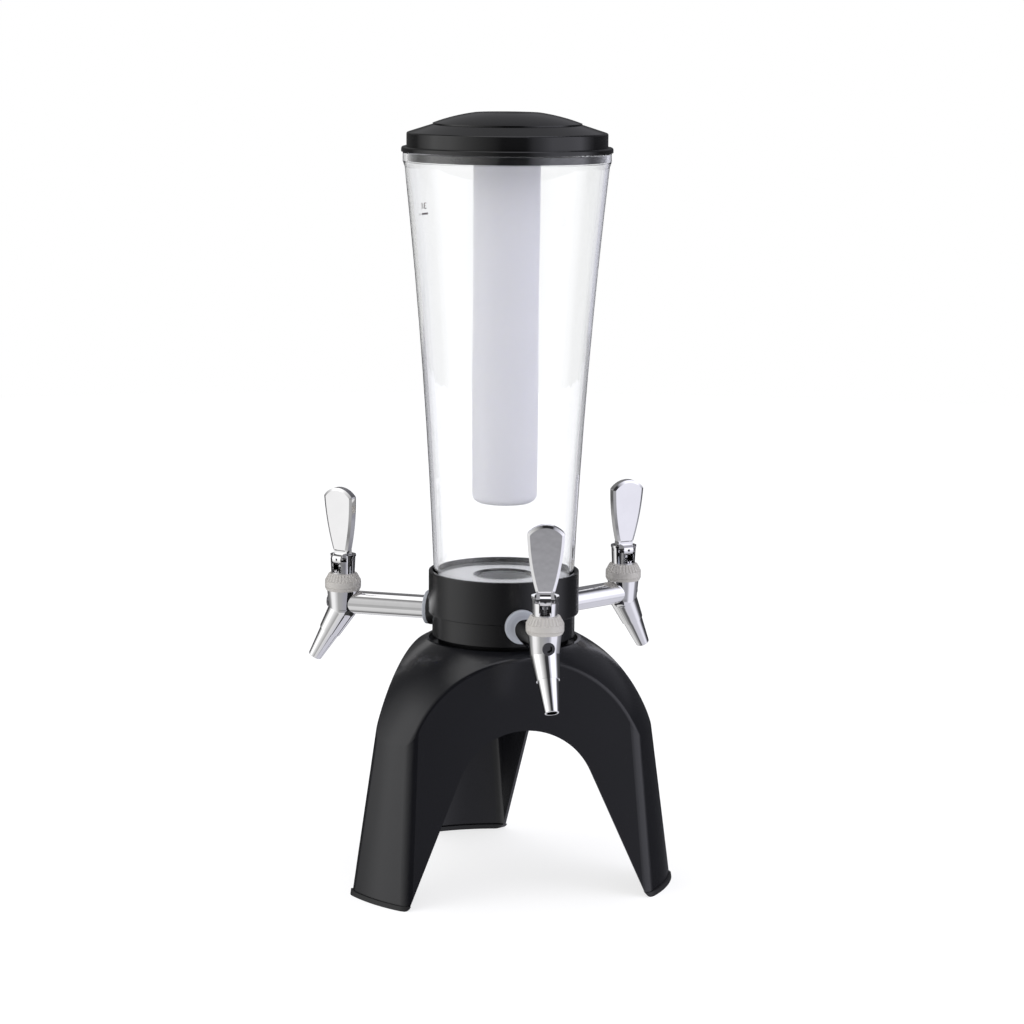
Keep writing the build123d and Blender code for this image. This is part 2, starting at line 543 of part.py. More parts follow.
def washer():
    """Pale rounded washer between the pipe's shoulder and the collar's pad."""
    disc = rod_along_x(WASHER_RADIUS, PAD_FACE, PIPE_SHOULDER, PIPE_Z)
    disc = fillet(disc.edges().sort_by(Axis.X)[-1], WASHER_EDGE)
    return disc - rod_along_x(STUD_RADIUS + HOLE_GAP, PAD_FACE - 1, PIPE_SHOULDER + 1, PIPE_Z)


def lock_nut():
    """Nut that clamps the pipe's stud from inside the collar."""
    start = PAD_INNER_FACE - LOCK_NUT_THICKNESS
    nut = Pos(start, 0, PIPE_Z) * Rot(0, 90, 0) * hex_prism(LOCK_NUT_FLATS, LOCK_NUT_THICKNESS)
    return nut - rod_along_x(STUD_RADIUS + THREAD_GAP, start - 1, PAD_INNER_FACE + 1, PIPE_Z)


def body_envelope():
    """Outside of the tap body: barrel, elbow, leaning spout and threaded neck."""
    body = frustum(ELBOW_RADIUS, BARREL_TOP_RADIUS, ELBOW_Z, BARREL_TOP_Z)
    body += Pos(0, 0, ELBOW_Z) * Sphere(ELBOW_RADIUS)
    body += along_spout(frustum(ELBOW_RADIUS, SPOUT_END_RADIUS, 0, SPOUT_LENGTH))
    return body + rod(BODY_NECK_RADIUS, BARREL_TOP_Z, BODY_TOP_Z)


def plug_seat():
    """Distance from the tap's axis to the flat that the front plug's head rests on."""
    share = ELBOW_DROP / (ELBOW_DROP + BARREL_HEIGHT)
    barrel_radius = ELBOW_RADIUS + (BARREL_TOP_RADIUS - ELBOW_RADIUS) * share
    return barrel_radius + PLUG_PROUD - PLUG_HEAD


def tap_body(envelope):
    """Cast body with valve bore, throat, seal chamber and the spout's bore."""
    seal_floor = STEM_BOTTOM_Z - STEM_TRAVEL - SEAL_ROOM
    body = envelope - rod(VALVE_BORE, ELBOW_Z, BODY_TOP_Z + 1)
    body -= rod(THROAT_RADIUS, THROAT_BOTTOM_Z - 1, ELBOW_Z + 1)
    body -= rod(SEAL_RADIUS + SEAL_ROOM, seal_floor, THROAT_BOTTOM_Z)
    body -= along_spout(rod(SPOUT_BORE, SPOUT_BORE_START, SPOUT_LENGTH + 1))
    socket_start = SPOUT_LENGTH - NOZZLE_SPIGOT_LENGTH
    body -= along_spout(rod(NOZZLE_SPIGOT_RADIUS + THREAD_GAP, socket_start, SPOUT_LENGTH + 1))
    body -= rod_along_x(SPIGOT_RADIUS + THREAD_GAP, -1.5 * BARREL_TOP_RADIUS, 0, PIPE_Z)
    body -= rod_along_x(PLUG_SHANK_RADIUS + THREAD_GAP, 0, 1.5 * BARREL_TOP_RADIUS, PIPE_Z)
    return body - rod_along_x(PLUG_RADIUS + THREAD_GAP, plug_seat(), 1.5 * BARREL_TOP_RADIUS, PIPE_Z)


def port_plug():
    """Screwed plug that closes the body's front hole, with a six-sided socket."""
    face = plug_seat() + PLUG_HEAD
    plug = rod_along_x(PLUG_RADIUS, plug_seat(), face, PIPE_Z)
    plug += rod_along_x(PLUG_SHANK_RADIUS, VALVE_BORE + END_GAP, plug_seat(), PIPE_Z)
    socket = Rot(0, 90, 0) * hex_prism(PLUG_HEX_FLATS, PLUG_HEX_DEPTH + 1)
    return plug - Pos(face - PLUG_HEX_DEPTH, 0, PIPE_Z) * socket


def nozzle():
    """Tapered nozzle screwed into the end of the spout."""
    end = SPOUT_LENGTH + NOZZLE_LENGTH
    cone = frustum(NOZZLE_TOP_RADIUS, NOZZLE_END_RADIUS, SPOUT_LENGTH, end)
    cone = fillet(cone.edges().sort_by(Axis.Z)[-1], NOZZLE_EDGE)
    cone += rod(NOZZLE_SPIGOT_RADIUS, SPOUT_LENGTH - NOZZLE_SPIGOT_LENGTH, SPOUT_LENGTH)
    return along_spout(cone - rod(NOZZLE_BORE, 0, end + 1))


def coupling_nut():
    """Pale nut with a toothed upper cone, which clamps the bonnet to the body."""
    bore = BODY_NECK_RADIUS + THREAD_GAP
    lip_z = NUT_TOP_Z - NUT_LIP
    cone_z = NUT_TOP_Z - NUT_CONE
    lip_bore = SLEEVE_FOOT_RADIUS + HOLE_GAP
    foot_z = BARREL_TOP_Z + NUT_FOOT
    grooves = []
    for z in (foot_z + BAND_GROOVE, cone_z - BAND_GROOVE):
        grooves += [(NUT_RADIUS, z - BAND_GROOVE), (NUT_RADIUS - BAND_GROOVE, z)]
        grooves += [(NUT_RADIUS, z + BAND_GROOVE)]
    outline = Polyline(
        (bore, BARREL_TOP_Z), (NUT_RADIUS - NUT_FOOT_INSET, BARREL_TOP_Z), *grooves,
        (NUT_TOP_RADIUS, NUT_TOP_Z), (lip_bore, NUT_TOP_Z), (lip_bore, lip_z), (bore, lip_z), close=True)
    slant = atan((NUT_RADIUS - NUT_TOP_RADIUS) / NUT_CONE)
    length = NUT_CONE / cos(slant)
    outset = NOTCH_RADIUS - NOTCH_BITE
    place = Pos(NUT_RADIUS + outset, 0, cone_z) * Rot(0, -degrees(slant), 0)
    notch = place * rod(NOTCH_RADIUS, 0, 2 * length)
    return turned(outline) - [Rot(0, 0, 360 * i / NUT_TEETH) * notch for i in range(NUT_TEETH)]


def bonnet_gasket():
    """Flat seal between body and bonnet, which also grips the stem."""
    return ring(BONNET_FLANGE_RADIUS, STEM_RADIUS + RUNNING, BODY_TOP_Z, BONNET_Z)


def bonnet():
    """Sleeve that holds the handle's pin, open in front for the handle to tip into."""
    flange_top = BONNET_Z + BONNET_FLANGE
    floor = BONNET_Z + BONNET_FLOOR
    lip_z = BONNET_TOP_Z - SLEEVE_LIP
    outline = Polyline(
        (STEM_RADIUS + RUNNING, BONNET_Z), (BONNET_FLANGE_RADIUS, BONNET_Z),
        (BONNET_FLANGE_RADIUS, flange_top), (SLEEVE_FOOT_RADIUS, flange_top), (SLEEVE_TOP_RADIUS, lip_z),
        (SLEEVE_TOP_RADIUS + SLEEVE_LIP_PROUD, lip_z), (SLEEVE_TOP_RADIUS + SLEEVE_LIP_PROUD, BONNET_TOP_Z),
        (SLEEVE_BORE, BONNET_TOP_Z), (SLEEVE_BORE, floor), (STEM_RADIUS + RUNNING, floor), close=True)
    reach = 2 * SLEEVE_TOP_RADIUS
    sill = NUT_TOP_Z + WINDOW_SILL
    corner = (Align.MIN, Align.CENTER, Align.MIN)
    window = Pos(0, 0, sill) * Box(reach, 2 * WINDOW_HALF_WIDTH, BONNET_HEIGHT, align=corner)
    notch = Pos(NOTCH_START, 0, BONNET_TOP_Z - NOTCH_DEPTH) * Box(
        reach, 2 * NOTCH_HALF_WIDTH, 2 * NOTCH_DEPTH, align=corner)
    return turned(outline) - window - notch - rod_along_y(PIN_RADIUS + THREAD_GAP, reach, 0, PIN_Z)


def pivot_pin():
    """Steel pin through the bonnet and the handle's hub."""
    return rod_along_y(PIN_RADIUS, PIN_HALF_LENGTH, 0, PIN_Z)


def paddle():
    """Flat-faced grip, wide and round at the top, bevelled in front and rounded behind."""
    shoulder = PADDLE_HEIGHT - PADDLE_CROWN
    side_middle = (PADDLE_FOOT_HALF_WIDTH + PADDLE_HALF_WIDTH) / 2 + PADDLE_BELLY
    outline = Line((-PADDLE_FOOT_HALF_WIDTH, 0), (PADDLE_FOOT_HALF_WIDTH, 0))
    outline += ThreePointArc((PADDLE_FOOT_HALF_WIDTH, 0), (side_middle, shoulder / 2),
                             (PADDLE_HALF_WIDTH, shoulder))
    outline += ThreePointArc((PADDLE_HALF_WIDTH, shoulder), (0, PADDLE_HEIGHT),
                             (-PADDLE_HALF_WIDTH, shoulder))
    outline += ThreePointArc((-PADDLE_HALF_WIDTH, shoulder), (-side_middle, shoulder / 2),
                             (-PADDLE_FOOT_HALF_WIDTH, 0))
    face = make_face(outline)
    face = Plane.YZ * fillet(face.vertices(), PADDLE_CORNER)
    depth = PADDLE_THICKNESS - BEVEL_DEPTH
    slab = extrude(face, amount=depth)
    slab = fillet(slab.edges().group_by(Axis.X)[0], BACK_ROUND)
    bevel = degrees(atan(BEVEL_WIDTH / BEVEL_DEPTH))
    front = Pos(depth, 0, 0) * extrude(face, amount=BEVEL_DEPTH, taper=bevel)
    return Pos(-PADDLE_THICKNESS / 2, 0, 0) * (slab + front)


def handle():
    """Handle in one piece: grip, neck, hub round the pin and the cam that presses the stem."""
    leaning = Pos(0, 0, PIN_Z) * Rot(0, PADDLE_LEAN, 0)
    neck_height = PADDLE_BOTTOM + BACK_ROUND
    neck = Pos(0, 0, neck_height / 2) * Box(2 * NECK_HALF_DEPTH, 2 * HUB_HALF_WIDTH, neck_height)
    body = leaning * (Pos(0, 0, PADDLE_BOTTOM) * paddle() + neck)
    body += rod_along_y(HUB_RADIUS, HUB_HALF_WIDTH, 0, PIN_Z)
    body += rod_along_y(CAM_RADIUS, CAM_HALF_WIDTH, CAM_OFFSET, PIN_Z)
    cam_front = CAM_OFFSET + CAM_RADIUS
    body -= rod_along_x(CAM_HOLE_RADIUS, cam_front - CAM_HOLE_DEPTH, cam_front + 1, PIN_Z)
    return body - rod_along_y(PIN_RADIUS + RUNNING, 2 * HUB_HALF_WIDTH, 0, PIN_Z)


def stem():
    """Valve stem with a head under the cam and a tail that holds the seal."""
    body = rod(STEM_RADIUS, STEM_BOTTOM_Z, STEM_TOP_Z)
    body += rod(STEM_HEAD_RADIUS, STEM_TOP_Z - STEM_HEAD, STEM_TOP_Z)
    return body + rod(STEM_TAIL_RADIUS, STEM_BOTTOM_Z, STEM_BOTTOM_Z + STEM_TAIL)


def stem_seal():
    """Rubber disc that shuts the throat from below."""
    return ring(SEAL_RADIUS, STEM_RADIUS, STEM_BOTTOM_Z + STEM_TAIL, THROAT_BOTTOM_Z)


def biarc(start, start_way, end, end_way):
    """Two tangent arcs from one point and direction to another."""
    span = end - start
    a = 2 * (start_way.dot(end_way) - 1)
    b = -2 * span.dot(start_way + end_way)
    reach = (-b - sqrt(b * b - 4 * a * span.dot(span))) / (2 * a)
    first = start + start_way * reach
    second = end - end_way * reach
    joint = (first + second) / 2
    return [TangentArc(start, joint, tangent=start_way), TangentArc(joint, end, tangent=second - first)]


def spring():
    """Return spring of round wire between the bonnet's floor and the stem's head."""
    low = BONNET_Z + BONNET_FLOOR + SPRING_WIRE / 2
    pitch = (STEM_TOP_Z - STEM_HEAD - SPRING_WIRE / 2 - low) / SPRING_TURNS
    quarters = 4 * SPRING_TURNS
    places = []
    for i in range(quarters + 1):
        turn = radians(90 * i)
        place = Vector(SPRING_RADIUS * cos(turn), SPRING_RADIUS * sin(turn), low + pitch * i / 4)
        way = Vector(-sin(turn), cos(turn), pitch / (2 * radians(180) * SPRING_RADIUS)).normalized()
        places.append((place, way))
    arcs = []
    for (start, start_way), (end, end_way) in zip(places, places[1:]):
        arcs += biarc(start, start_way, end, end_way)
    path = Wire(arcs)
    samples = [path.position_at(i / (24 * quarters)) for i in range(24 * quarters + 1)]
    turn_steps = 24 * 4
    gaps = [(samples[i] - samples[j]).length for i in range(len(samples))
            for j in range(i + turn_steps // 2, len(samples))]
    print("spring: least gap between turns", round(min(gaps) - SPRING_WIRE, 3), "mm")
    section = Plane(origin=places[0][0], z_dir=places[0][1]) * Circle(SPRING_WIRE / 2)
    return sweep(section, path=path)


# ---------------------------------------------------------------- all pieces
def build():
    """Every piece by name, in place."""
    shell = tripod_base()
    pieces = {
        "tripod_base": shell,
        "base_screws": base_screws(),
        "collar": collar(),
        "manifold": manifold(),
        "neck_gasket": neck_gasket(),
        "tumbler": tumbler(),
        "lid_cover": lid_cover(),
        "lid_plug": lid_plug(),
        "ice_tube": ice_tube(),
    }
    for name, angle in LEGS:
        pieces["foot_strip_" + name] = foot_strip(shell, angle)
    envelope = body_envelope()
    radial = {"shank": shank(envelope), "washer": washer(), "lock_nut": lock_nut()}
    upright = {"tap_body": tap_body(envelope), "port_plug": port_plug(), "nozzle": nozzle(),
               "bonnet_gasket": bonnet_gasket(), "stem": stem(), "stem_seal": stem_seal()}
    turned_with_bonnet = {"coupling_nut": coupling_nut(), "bonnet": bonnet(), "pivot_pin": pivot_pin(),
                          "handle": handle(), "spring": spring()}
    for name, angle, turn in TAPS:
        for kind, piece in radial.items():
            pieces[kind + "_" + name] = around(piece, angle)
        for kind, piece in upright.items():
            pieces[kind + "_" + name] = at_tap(piece, angle)
        for kind, piece in turned_with_bonnet.items():
            pieces[kind + "_" + name] = at_tap(piece, angle, turn)
    return pieces


os.makedirs("parts", exist_ok=True)
for piece_name, piece in build().items():
    export_step(piece, "parts/" + piece_name + ".step")
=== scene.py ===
import math

import bpy
from mathutils import Matrix, Vector


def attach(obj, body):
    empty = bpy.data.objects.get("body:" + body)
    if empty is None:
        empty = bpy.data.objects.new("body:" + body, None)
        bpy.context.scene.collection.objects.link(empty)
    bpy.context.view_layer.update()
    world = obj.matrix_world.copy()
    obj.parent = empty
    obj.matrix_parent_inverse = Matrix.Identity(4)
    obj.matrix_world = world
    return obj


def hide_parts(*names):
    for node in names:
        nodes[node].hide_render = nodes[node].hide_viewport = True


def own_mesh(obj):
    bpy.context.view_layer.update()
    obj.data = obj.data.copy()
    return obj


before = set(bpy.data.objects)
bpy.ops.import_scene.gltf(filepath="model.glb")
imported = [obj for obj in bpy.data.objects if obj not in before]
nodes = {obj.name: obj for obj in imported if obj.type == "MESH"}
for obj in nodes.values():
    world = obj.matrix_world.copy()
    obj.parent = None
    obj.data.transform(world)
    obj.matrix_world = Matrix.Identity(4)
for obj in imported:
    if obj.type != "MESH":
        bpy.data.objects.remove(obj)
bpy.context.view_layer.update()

# ---------------------------------------------------------------- camera
# A long lens about 2.3 m in front of the tower and 0.66 m up, looking a little down. The tower
# stands turned, so that its front tap points slightly to the camera's right.
TOWER_TURN = math.radians(-13.33)
CAMERA_PLACE = (-0.0010, -2.3081, 0.6619)
CAMERA_PITCH = math.radians(9.32)
CAMERA_YAW = math.radians(0.17)
CAMERA_ROLL = math.radians(0.5)
CAMERA_LENS = 107.9

studio_turn = Matrix.Rotation(TOWER_TURN, 3, "Z")
looking = Vector((math.sin(CAMERA_YAW) * math.cos(CAMERA_PITCH),
                  math.cos(CAMERA_YAW) * math.cos(CAMERA_PITCH), -math.sin(CAMERA_PITCH)))
level_right = Vector((math.cos(CAMERA_YAW), -math.sin(CAMERA_YAW), 0))
level_up = level_right.cross(looking)
right = math.cos(CAMERA_ROLL) * level_right + math.sin(CAMERA_ROLL) * level_up
up = math.cos(CAMERA_ROLL) * level_up - math.sin(CAMERA_ROLL) * level_right
camera_data = bpy.data.cameras.new("camera")
camera_data.lens = CAMERA_LENS
camera_data.sensor_width = 36
camera = bpy.data.objects.new("camera", camera_data)
bpy.context.scene.collection.objects.link(camera)
camera_axes = Matrix([studio_turn @ right, studio_turn @ up, studio_turn @ -looking]).transposed()
camera.matrix_world = Matrix.Translation(studio_turn @ Vector(CAMERA_PLACE)) @ camera_axes.to_4x4()
bpy.context.scene.camera = camera
bpy.context.scene.view_settings.view_transform = "Standard"


# ---------------------------------------------------------------- studio
# A photographer's table: a white floor, white all round, two tall softboxes left and right of
# the camera, a dark gap behind the camera between them, and a soft lamp overhead. What is
# mirrored depends on its direction only, so that black plastic and chrome show long stripes.
def add_node(tree, kind, **sockets):
    """New shader node with some of its inputs set."""
    node = tree.nodes.new(kind)
    for name, value in sockets.items():
        node.inputs[name.replace("_", " ")].default_value = value
    return node


def add_math(tree, operation, first, second=None):
    """Math node; its inputs are numbers or other nodes' outputs."""
    node = tree.nodes.new("ShaderNodeMath")
    node.operation = operation
    for socket, value in zip(node.inputs, (first, second)):
        if isinstance(value, (int, float)):
            socket.default_value = value
        elif value is not None:
            tree.links.new(value, socket)
    return node.outputs[0]


def add_ramp(tree, value, stops, span=(0, 1)):
    """Colour ramp over a span of values; each stop is a place and a grey level or a colour."""
    low, high = span
    share = add_math(tree, "DIVIDE", add_math(tree, "SUBTRACT", value, low), high - low)
    node = tree.nodes.new("ShaderNodeValToRGB")
    elements = node.color_ramp.elements
    while len(elements) < len(stops):
        elements.new(0.5)
    for element, (place, level) in zip(elements, stops):
        element.position = (place - low) / (high - low)
        element.color = (*level, 1) if isinstance(level, tuple) else (level, level, level, 1)
    tree.links.new(share, node.inputs["Fac"])
    return node.outputs["Color"]


# levels of the reflected studio by direction: degrees round the tower from the camera's side,
# left negative, and degrees above the horizon
ROUND = (-180, 180)
UPWARD = (-90, 90)
SOFTBOX_LEVEL = 1.35
SOFTBOX_ROUND = ((-142, 0.06), (-126, 0.06), (-103, 0.60), (-92, 1.0), (-68, 1.0), (-50, 0.66),
                 (-30, 0.36), (-12, 0.14), (-6, 0.03), (22, 0.03), (29, 0.35), (38, 0.55), (52, 1.0),
                 (62, 1.0), (92, 1.0), (100, 0.55), (109, 0.2), (118, 0.05))
SOFTBOX_UPWARD = ((-50, 0.30), (-30, 0.74), (-11, 0.72), (-2, 1.0), (34, 1.0), (46, 0.5), (56, 0.15))
CEILING_UPWARD = ((54, 0.0), (66, 1.0))
TABLE_UPWARD = ((-80, 0.60), (-77, 0.10), (-69, 0.10), (-65, 0.50), (-34, 0.55), (-28, 0.18),
                (-23, 0.29), (-19, 0.30), (-12, 0.02))
# white sheet behind the tower, as clear pieces mirror it and, higher up and fainter, all pieces
SHEET_ROUND = ((-140, 0.75), (-95, 0.0), (95, 0.0), (140, 0.75))
SHEET_UPWARD = ((-45, 0.0), (-25, 1.0), (35, 1.0), (50, 0.0))
BACK_UPWARD = ((4, 0.0), (14, 1.0), (40, 1.0), (60, 0.0))
BACK_LEVEL = 0.2
# colours of the light from the left and from the right
SIDE_TINTS = ((-0.3, (1.0, 1.0, 1.0)), (0.3, (0.90, 0.90, 1.0)))
# soft light on matt surfaces by degrees round the tower, left and right alike, and what is added
# through clear pieces to this light and to the white behind the tower
FILL_ROUND = ((0, 0.50), (50, 0.95), (110, 1.0), (180, 0.7))
FILL_LEVEL = 1.0
CLEAR_LIFT = 0.75
CLEAR_WHITE = 0.08


def ray_shares(tree):
    """Four values of 1 or 0 for a ray: straight from the camera or on through clear pieces, mirrored,
    any other, and whether it has been through a clear piece."""
    light = tree.nodes.new("ShaderNodeLightPath")
    unlit = add_math(tree, "LESS_THAN", light.outputs["Diffuse Depth"], 0.5)
    mirrored = add_math(tree, "GREATER_THAN", light.outputs["Glossy Depth"], 0.5)
    glossy = add_math(tree, "MULTIPLY", mirrored, unlit)
    direct = add_math(tree, "MULTIPLY", add_math(tree, "SUBTRACT", 1, mirrored), unlit)
    seen = add_math(tree, "MAXIMUM", light.outputs["Is Camera Ray"], light.outputs["Is Transmission Ray"])
    direct = add_math(tree, "MULTIPLY", direct, seen)
    plain = add_math(tree, "SUBTRACT", 1, add_math(tree, "MAXIMUM", direct, glossy))
    clear = add_math(tree, "GREATER_THAN", light.outputs["Transmission Depth"], 0.5)
    return direct, glossy, plain, clear


def studio_world():
    """White for the camera and through clear pieces, softboxes in reflections, soft fill on surfaces."""
    world = bpy.data.worlds.new("studio")
    bpy.context.scene.world = world
    world.use_nodes = True
    tree = world.node_tree
    tree.nodes.clear()
    place = tree.nodes.new("ShaderNodeTexCoord")
    turn = tree.nodes.new("ShaderNodeVectorRotate")
    turn.rotation_type = "Z_AXIS"
    turn.inputs["Angle"].default_value = -TOWER_TURN
    tree.links.new(place.outputs["Generated"], turn.inputs["Vector"])
    way = tree.nodes.new("ShaderNodeSeparateXYZ")
    tree.links.new(turn.outputs["Vector"], way.inputs[0])
    toward = add_math(tree, "MULTIPLY", way.outputs["Y"], -1)
    angle = add_math(tree, "DEGREES", add_math(tree, "ARCTAN2", way.outputs["X"], toward))
    height = add_math(tree, "DEGREES", add_math(tree, "ARCSINE", way.outputs["Z"]))
    tint = add_ramp(tree, way.outputs["X"], SIDE_TINTS, (-1, 1))
    boxes = add_math(tree, "MULTIPLY", add_ramp(tree, angle, SOFTBOX_ROUND, ROUND),
                     add_ramp(tree, height, SOFTBOX_UPWARD, UPWARD))
    table = add_ramp(tree, height, TABLE_UPWARD, UPWARD)
    studio = add_math(tree, "MAXIMUM", boxes, add_ramp(tree, height, CEILING_UPWARD, UPWARD))
    studio = add_math(tree, "MAXIMUM", studio, table)
    behind = add_ramp(tree, angle, SHEET_ROUND, ROUND)
    back = add_math(tree, "MULTIPLY", behind, add_ramp(tree, height, BACK_UPWARD, UPWARD))
    studio = add_math(tree, "MAXIMUM", studio, add_math(tree, "MULTIPLY", back, BACK_LEVEL))
    sheet = add_math(tree, "MULTIPLY", behind, add_ramp(tree, height, SHEET_UPWARD, UPWARD))
    fill = add_ramp(tree, add_math(tree, "ABSOLUTE", angle), FILL_ROUND, (0, 180))
    direct, glossy, plain, clear = ray_shares(tree)
    studio = add_math(tree, "MAXIMUM", studio, add_math(tree, "MULTIPLY", sheet, clear))
    mirrored = add_math(tree, "MULTIPLY", studio, SOFTBOX_LEVEL)
    whiter = add_math(tree, "ADD", add_math(tree, "MULTIPLY", clear, CLEAR_WHITE), 1)
    white = add_math(tree, "MULTIPLY", direct, whiter)
    level = add_math(tree, "ADD", white, add_math(tree, "MULTIPLY", glossy, mirrored))
    lift = add_math(tree, "ADD", add_math(tree, "MULTIPLY", clear, CLEAR_LIFT), FILL_LEVEL)
    lit = add_math(tree, "MULTIPLY", plain, add_math(tree, "MULTIPLY", fill, lift))
    level = add_math(tree, "ADD", level, lit)
    shade = tree.nodes.new("ShaderNodeMix")
    shade.data_type = "RGBA"
    shade.inputs["A"].default_value = (1, 1, 1, 1)
    tree.links.new(add_math(tree, "SUBTRACT", 1, direct), shade.inputs["Factor"])
    tree.links.new(tint, shade.inputs["B"])
    background = tree.nodes.new("ShaderNodeBackground")
    tree.links.new(shade.outputs["Result"], background.inputs["Color"])
    tree.links.new(level, background.inputs["Strength"])
    output = tree.nodes.new("ShaderNodeOutputWorld")
    tree.links.new(background.outputs[0], output.inputs["Surface"])


studio_world()


TOWER_MIDDLE = (0, 0, 0.3)


def lamp(name, place, size, watts, colour):
    """Soft rectangular lamp that faces the tower's middle and isn't mirrored in it."""
    data = bpy.data.lights.new(name, "AREA")
    data.shape = "RECTANGLE"
    data.size, data.size_y = size
    data.energy = watts
    data.color = colour
    obj = bpy.data.objects.new(name, data)
    bpy.context.scene.collection.objects.link(obj)
    obj.location = studio_turn @ Vector(place)
    obj.rotation_mode = "QUATERNION"
    obj.rotation_quaternion = (Vector(TOWER_MIDDLE) - obj.location).to_track_quat("-Z", "Y")
    obj.visible_glossy = False
    obj.visible_camera = False
    obj.visible_transmission = False


lamp("softbox_left", place=(-1.6, -0.9, 0.8), size=(1.0, 1.6), watts=4, colour=(1.0, 1.0, 1.0))
lamp("softbox_right", place=(1.6, -0.9, 0.8), size=(1.0, 1.6), watts=4, colour=(0.92, 0.92, 1.0))
lamp("softbox_top", place=(0.0, -0.3, 2.2), size=(1.4, 1.4), watts=9, colour=(1.0, 1.0, 1.0))

FLOOR_RADIUS = 3.0
FLOOR_RINGS = 12
FLOOR_SIDES = 96
# glow and colour of the floor as the camera sees it, and then as it lights the tower
FLOOR_GLOW = 0.72
FLOOR_COLOUR = 0.36
FLOOR_FILL = 0.5
FLOOR_BOUNCE = 0.5


def floor():
    """Round white floor that keeps a soft shadow and runs into the white behind."""
    points = [Vector((0, 0, 0))]
    faces = []
    for ring in range(1, FLOOR_RINGS + 1):
        reach = FLOOR_RADIUS * ring / FLOOR_RINGS
        outer = 1 + (ring - 1) * FLOOR_SIDES
        inner = outer - FLOOR_SIDES
        for side in range(FLOOR_SIDES):
            angle = 2 * math.pi * side / FLOOR_SIDES
            beside = (side + 1) % FLOOR_SIDES
            points.append(Vector((reach * math.cos(angle), reach * math.sin(angle), 0)))
            if ring == 1:
                faces.append((0, outer + side, outer + beside))
            else:
                faces.append((inner + side, outer + side, outer + beside, inner + beside))
    mesh = bpy.data.meshes.new("floor")
    mesh.from_pydata(points, [], faces)
    obj = bpy.data.objects.new("floor", mesh)
    bpy.context.scene.collection.objects.link(obj)
    material = bpy.data.materials.new("studio_floor")
    material.use_nodes = True
    tree = material.node_tree
    tree.nodes.clear()
    direct, _, plain, _ = ray_shares(tree)
    white = add_node(tree, "ShaderNodeEmission", Color=(1, 1, 1, 1))
    glow = add_math(tree, "ADD", add_math(tree, "MULTIPLY", direct, FLOOR_GLOW),
                    add_math(tree, "MULTIPLY", plain, FLOOR_FILL))
    tree.links.new(glow, white.inputs["Strength"])
    shade = tree.nodes.new("ShaderNodeMix")
    shade.data_type = "RGBA"
    shade.inputs["A"].default_value = (FLOOR_BOUNCE, FLOOR_BOUNCE, FLOOR_BOUNCE, 1)
    shade.inputs["B"].default_value = (FLOOR_COLOUR, FLOOR_COLOUR, FLOOR_COLOUR, 1)
    tree.links.new(direct, shade.inputs["Factor"])
    matt = tree.nodes.new("ShaderNodeBsdfDiffuse")
    tree.links.new(shade.outputs["Result"], matt.inputs["Color"])
    both = tree.nodes.new("ShaderNodeAddShader")
    tree.links.new(white.outputs[0], both.inputs[0])
    tree.links.new(matt.outputs[0], both.inputs[1])
    output = tree.nodes.new("ShaderNodeOutputMaterial")
    tree.links.new(both.outputs[0], output.inputs["Surface"])
    mesh.materials.append(material)
    obj.visible_glossy = False


floor()


# ---------------------------------------------------------------- tripod base
# One black injection moulding: a hollow dome on three legs, with a satin gloss and the faint
# cloudiness that moulded plastic shows in a raking light.
MILLIMETRES = 1000
NOISE_MIDDLE = 0.5
CLOUD_GLOSS = 1.2
GRAIN_DEPTH = 0.00002


